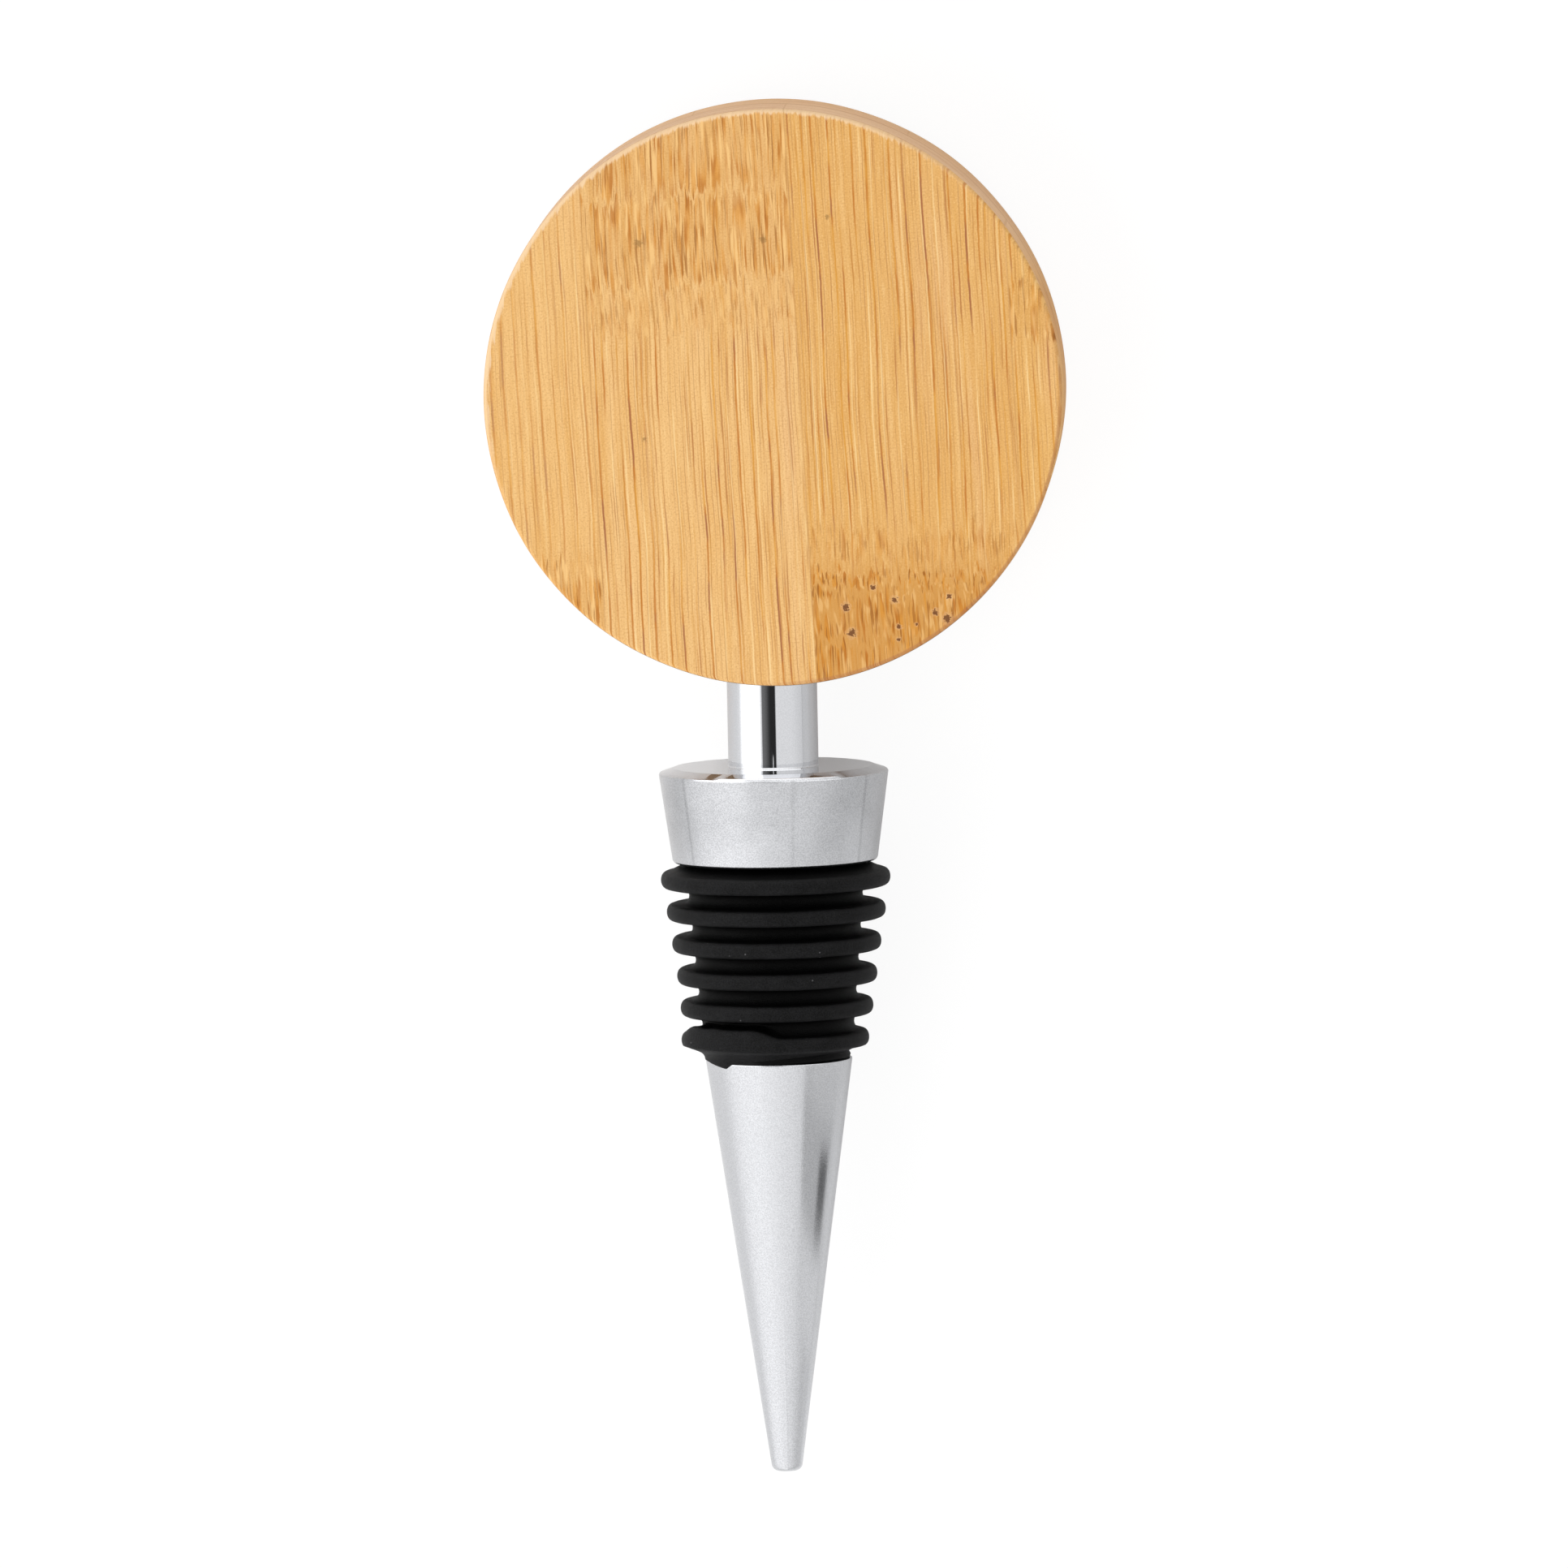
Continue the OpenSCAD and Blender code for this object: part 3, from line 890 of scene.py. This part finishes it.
# %% Bundles
away = (1 - node * 0.85) * (1 - rim * end_grain) * (1 - (strip < 0.5) * 0.38)
strong_lane = 1.25
strong_mark, strong_tint = lane_lines(strong_lane, 0.08, 26.0, 0.44, 5.0)
second_mark, second_tint = lane_lines(0.9, 0.055, 16.0, 0.5, 41.0)
fine_mark, fine_tint = lane_lines(0.45, 0.03, 9.0, 0.46, 17.0, soft=0.04)
pale_mark, pale_tint = lane_lines(1.4, 0.06, 15.0, 0.47, 29.0)
amber, brown, plum = linear(220, 150, 42), linear(196, 120, 40), linear(168, 104, 64)
colour = over(colour, [
    (pale_mark * (0.35 + pale_tint * 0.5) * away, (255, 220, 158)),
    (fine_mark * (0.3 + fine_tint * 0.5) * away, (184, 126, 72)),
])
second_colour = bench.blend(second_tint, linear(220, 154, 54), linear(184, 118, 62))
colour = bench.blend(second_mark * (0.4 + second_tint * 0.45) * away, colour, second_colour)
line_colour = bench.blend(strong_tint.smooth(0, 0.6), amber, brown)
line_colour = bench.blend(strong_tint.smooth(0.75, 1), line_colour, plum)
colour = bench.blend(strong_mark * (0.6 + strong_tint * 0.35) * away, colour, line_colour)
print("strong lines lie", strong_lane, "mm apart")

# %% [markdown]
# The dashes go over them: first a browner ground, which in the third strip reaches to the
# disc's lower edge, then pale gaps, orange dashes and thin dark ones. A patchy noise keeps
# them from being equally strong everywhere.

# %% Dashes
tone = bench.point(sideways / 0.7, grain / 3 + row, 9.0).noise(Detail=1.0).smooth(0.35, 0.65)
burnt = (strip - 2).math("ABSOLUTE") < 0.5
browned = burnt * grain.smooth(-14, -20)
ground = (node * (0.22 - faint * 0.3)).math("MAXIMUM", browned * 0.75)
pale_gaps = dashes(0.5, 0.5, 0.53, 0.64, 51.0) * (0.75 - burnt * 0.3)
colour = over(colour, [(ground, (210, 148, 70)), (pale_gaps, (251, 204, 134))])
orange = bench.blend(tone, linear(220, 141, 24), linear(188, 111, 26))
strength = (0.5 + tone * 0.36 + burnt * 0.1) * (0.36 + patch * 0.56)
colour = bench.blend(dashes(0.33, 0.85, 0.5, 0.58, 3.0) * strength, colour, orange)
dark_dashes = dashes(0.2, 0.7, 0.56, 0.64, 27.0) * (0.33 + patch * 0.38 + burnt * 0.12)
colour = over(colour, [(dark_dashes, (160, 96, 30))])

# %% [markdown]
# The pits and pinholes are the only marks that are put where the photograph has them. A pit
# is a small dark hole with a ragged edge and a paler ring, and a pinhole a faint brown dot.

# %% Pits and pinholes
pits = [  # across the grain, along it, and the radius
    (5.79, -20.28, 0.30), (10.45, -19.86, 0.26), (6.19, -22.78, 0.34), (10.69, -22.43, 0.20),
    (14.24, -21.24, 0.26), (15.36, -21.92, 0.36), (15.64, -19.85, 0.22), (12.40, -22.29, 0.13),
    (10.62, -23.65, 0.16), (8.44, -18.58, 0.22),
]
pinholes = [(-11.9, 15.3, 0.32), (-0.06, 15.1, 0.30), (6.15, 16.9, 0.18), (-12.4, -3.3, 0.2)]
crumbly = (bench.point(across * 4, grain * 4, 0.0).noise(Detail=2.0) - 0.5) * 3.2
on_face = bench.point(across, grain, (depth < half_t - 0.5) * 99)


def nearest(places):
    """How many of its own radii the nearest of some marks is away."""
    near = 99 + 0 * depth
    for x, y, r in places:
        ends = {0: on_face, 1: (x, y, 0)}
        distance = bench.add("ShaderNodeVectorMath", {"operation": "DISTANCE"}, ends, 1)
        near = near.math("MINIMUM", distance / r)
    return near + crumbly


near_pit, near_hole = nearest(pits), nearest(pinholes)
pit = near_pit.smooth(1.2, 0.7)
colour = over(colour, [
    (near_hole.smooth(1.6, 0.5) * 0.6, (146, 108, 58)),
    (near_pit.smooth(2.1, 1.3) * 0.4, (232, 184, 132)),
    (pit * 0.9, (108, 62, 30)),
])
print("pits", len(pits), "pinholes", len(pinholes))

# %% [markdown]
# Sanding across the ends of the fibres leaves the eased edge pale and frayed at the top left,
# and the eased edge is darker at the lower right. The rim's lower side is painted dark brown as
# painted shadow under the disc. Down the rim the two plies meet in a thin brown glue line.

# %% Edge, rim and seams
frayed = (streaks(0.3, 2.0, shift=61.0) - 0.5) * 1.1
top_left = (grain - across * 0.6).smooth(2, 24)
eased = from_axis.smooth(disc_d / 2 - 0.5, disc_d / 2 - 0.3) * (1 - rim)
edge = (from_axis + frayed).smooth(disc_d / 2 - 0.6, disc_d / 2 - 0.3) * (1 - rim) * top_left
layered = bench.point(across * 0.12, grain * 0.12, depth * 1.1).noise(Detail=3.0)
glue_line = (depth + (layered - 0.5) * 0.8).math("ABSOLUTE").smooth(0.45, 0.1)
sandy = bench.point(across * 4, grain * 4, depth * 4).noise(Detail=2.0)
seam_line = seam_gap.smooth(0.12, 0.04) * middling.smooth(0.3, 0.6)
colour = over(colour, [
    # Darker on the eased edge at the lower right.
    (eased * (across - grain).smooth(20, 34) * 0.5, (178, 118, 80)),
    (edge * 0.8, (249, 216, 174)),
    (rim * end_grain * 0.75, (234, 196, 158)),
    (rim * layered.smooth(0.45, 0.65) * 0.5, (212, 160, 112)),
    (rim * (depth < 0) * 0.35, (226, 178, 126)),
    (rim * sandy.smooth(0.5, 0.7) * 0.3, (205, 140, 84)),
    (glue_line * rim * 0.6, (186, 132, 88)),
    # Painted shadow: the rim's lower side is darkened, as it lies in shade under the disc.
    (rim * grain.smooth(-14, -26) * 0.7, (98, 84, 72)),
    (seam_line * 0.45, (196, 142, 84)),
])

# %% [markdown]
# Sanded wood has a soft gloss. Its relief is only the finest fibres, the strong lines and the
# pits, because a bump works out its height again for each sample.

# %% The bamboo's finish
relief = bench.bump(1 - hair * 0.4 - strong_mark * 0.5 - pit * 3, 0.3, 0.00005)
give_finish(skin_of_bamboo, colour, 0.5 + hair * 0.15 + edge * 0.1, relief)
skin_of_bamboo.inputs["Specular IOR Level"].default_value = 0.25
stands_for(disc, "bamboo_disc", bamboo)
print("bamboo nodes", len(bench.tree.nodes))

# %% [markdown]
# ## The table
# The photograph has a pure white ground. The table is a pale plane that takes a soft shadow,
# and it glows for the camera and for reflections, so that it shows white and the metal has
# something white to mirror, with no more light on the stopper itself.


# %% The table
def flat_sheet(name, corners):
    """A flat sheet between four corners."""
    mesh = bpy.data.meshes.new(name)
    mesh.from_pydata(corners, [], [(0, 1, 2, 3)])
    return placed(name, mesh)


half_table = 3.0
square = [(-1, -1), (1, -1), (1, 1), (-1, 1)]
table = flat_sheet("table", [(x * half_table, y * half_table, 0) for x, y in square])


def kinds_of_ray(bench):
    """1 for rays from the camera or through glass, and 1 for rays that metal mirrors."""
    ray = bench.add("ShaderNodeLightPath", out="Is Camera Ray")
    direct = ray.math("MAXIMUM", ray.other("Is Transmission Ray"))
    return direct, ray.other("Is Glossy Ray") * (1 - direct)


paper, bench, plain = new_material("white_table")
bench.tree.nodes.remove(plain)
direct, mirrored = kinds_of_ray(bench)
lit, seen, in_metal, in_metal_right = ((v, v, v, 1) for v in (0.8, 0.12, 0.84, 0.68))
matt = bench.blend(direct, lit, seen)
# Painted shadow: in reflections the table's right side is darker, where the stopper's shadow falls.
painted_shadow_at_right = bench.add("ShaderNodeTexCoord", out="Object").along((1 / MM, 0, 0)).smooth(10, 26)
matt = bench.blend(mirrored, matt, bench.blend(painted_shadow_at_right, in_metal, in_metal_right))
sheet = bench.add("ShaderNodeBsdfDiffuse", None, {"Color": matt})
glow = bench.add("ShaderNodeEmission", None, {"Strength": direct * 0.91 + mirrored * 0.08})
both = bench.add("ShaderNodeAddShader", None, {0: sheet, 1: glow})
bench.show(both)
table.data.materials.append(paper)
print("table", 2 * half_table, "m wide")

# %% [markdown]
# ## The studio
# The room does the lighting, as a tent of soft boxes would. A picture of a studio could be
# wrapped round the scene, but the metal shows where everything stands, so each box has to be
# moved by itself: a bright one on the left, a grey wall on the right, and overhead the dark
# gap for the camera, which is the black band in the neck. A bearing counts the degrees from
# straight up, to the right, and a pitch the degrees towards the disc.

# %% The room
world = bpy.data.worlds.new("studio")
bpy.context.scene.world = world
world.use_nodes = True
bench = Bench(world.node_tree)
look = bench.add("ShaderNodeTexCoord", out="Generated")
bearing = look.along((1, 0, 0)).math("ARCTAN2", look.along((0, 0, 1))) * (180 / math.pi)
pitch = look.along((0, 1, 0)).math("ARCSINE") * (180 / math.pi)
low = pitch.smooth(-10, -17)
wall = 1.06 - bearing.smooth(50, 100) * 0.2
box_left = bearing.smooth(-88, -72) * bearing.smooth(-20, -24) * 0.85
gap = bearing.between(-18, 17.5, 1.5) * pitch.smooth(24, 20)
gap_depth = gap * (0.97 - 0.17 * bearing.smooth(5, -15))
box_top = pitch.smooth(22, 30) * 0.7
upper = (wall + box_left) * (1 - gap_depth) + box_top
lobe_low = 0.96 + 0.34 * bearing.between(-82, 20, 38) - 0.22 * bearing.smooth(40, 90)
studio = upper + low * (lobe_low - upper)
direct, mirrored = kinds_of_ray(bench)
strength = direct + mirrored * studio + (1 - direct - mirrored) * 0.78
background = bench.tree.nodes["Background"]
background.inputs["Color"].default_value = (1, 1, 1, 1)
bench.tree.links.new(strength.socket, background.inputs["Strength"])
print("room nodes", len(bench.tree.nodes))

# %% [markdown]
# One real lamp on the left gives the stopper its soft shadow and its brighter left side. The
# metal doesn't mirror it, because the room has its own box there.

# %% The key light
key = bpy.data.lights.new("left_box", "AREA")
key.shape, key.size, key.size_y = "RECTANGLE", 1.2, 1.2
key.energy = 11.5
key_light = placed("left_box", key)
key_light.location = (-0.95, -0.55, 1.2)
key_light.rotation_euler = (-key_light.location).to_track_quat("-Z", "Y").to_euler()
key_light.visible_glossy = False
print("lamp", round(key_light.location.length, 2), "m from the stopper")

# %% [markdown]
# A sheet beside the cone, seen only by mirrors, stands in for the stopper's own shadow on the
# table: it glows grey, paler towards its ends, with a darker foot, so that the cone shows a
# painted reflection of that shadow down its right side.

# %% The shadow card
card_x, card_low, card_high, card_top = 0.027, -0.062, -0.033, 0.036
card_corners = [(card_low, 0), (card_high, 0), (card_high, card_top), (card_low, card_top)]
card = flat_sheet("shadow_card", [(card_x, y, z) for y, z in card_corners])
card.visible_camera = card.visible_diffuse = card.visible_shadow = False
card.visible_transmission = card.visible_volume_scatter = False
shadow_sheet, bench, plain = new_material("painted_shadow_glow")
bench.tree.nodes.remove(plain)
here = bench.add("ShaderNodeTexCoord", out="Object")
along_stopper, above_table = here.along((0, 1 / MM, 0)), here.along((0, 0, 1 / MM))
darkest_shadow = above_table.between(3, 13.5, 1)
darkest_shadow = darkest_shadow * along_stopper.smooth(-41.4, -42.6)
darkest_shadow = darkest_shadow * along_stopper.smooth(-54, -45.5)
paler = along_stopper.smooth(-49.5, -54) * 0.3 + along_stopper.smooth(-41, -37) * 0.12
# Painted shadow: the sheet's shade, darkest at its foot, is the stopper's shadow on the table as
# the cone mirrors it.
shade = 0.6 + paler - darkest_shadow * 0.46
glow = bench.add("ShaderNodeEmission", None, {"Strength": shade})
bench.show(glow)
card.data.materials.append(shadow_sheet)
print("card", round((card_high - card_low) / MM), "x", round(card_top / MM), "mm")

# %% [markdown]
# ## The camera
# It stands 2.5 m off with a very long lens, almost straight over the disc's face: 2 degrees
# to the right of it and 5 degrees above the neck's level. The camera's own frame is built
# from these angles, so the stopper falls on the same points of the picture as in the photo.

# %% The camera
camera_turn, camera_rise, camera_tilt = (math.radians(a) for a in (2.1, 5.09, -1.12))
camera_off, pixels_per_mm, frame_px, film_mm = 2500, 12.929, 1932, 36
aim = Vector((0.97, 0, 65.81))
back = Vector((
    math.sin(camera_turn) * math.cos(camera_rise),
    -math.cos(camera_turn) * math.cos(camera_rise),
    math.sin(camera_rise),
))
level = Vector((0, 0, 1)).cross(back).normalized()
rise = back.cross(level)
right = level * math.cos(camera_tilt) + rise * math.sin(camera_tilt)
up = back.cross(right)
lens = bpy.data.cameras.new("camera")
lens.sensor_width = film_mm
lens.lens = film_mm * pixels_per_mm * camera_off / frame_px
lens.clip_start, lens.clip_end = 0.5, 20
camera = placed("camera", lens)
axes = [turn_only @ axis for axis in (right, up, back)]
stand = Matrix.Translation(lie_down @ (aim + back * camera_off))
camera.matrix_world = stand @ Matrix(axes).transposed().to_4x4()
bpy.context.scene.camera = camera
bpy.context.scene.view_settings.view_transform = "Standard"
print("lens", round(lens.lens, 1), "mm, camera at", tuple(round(c, 3) for c in camera.location))
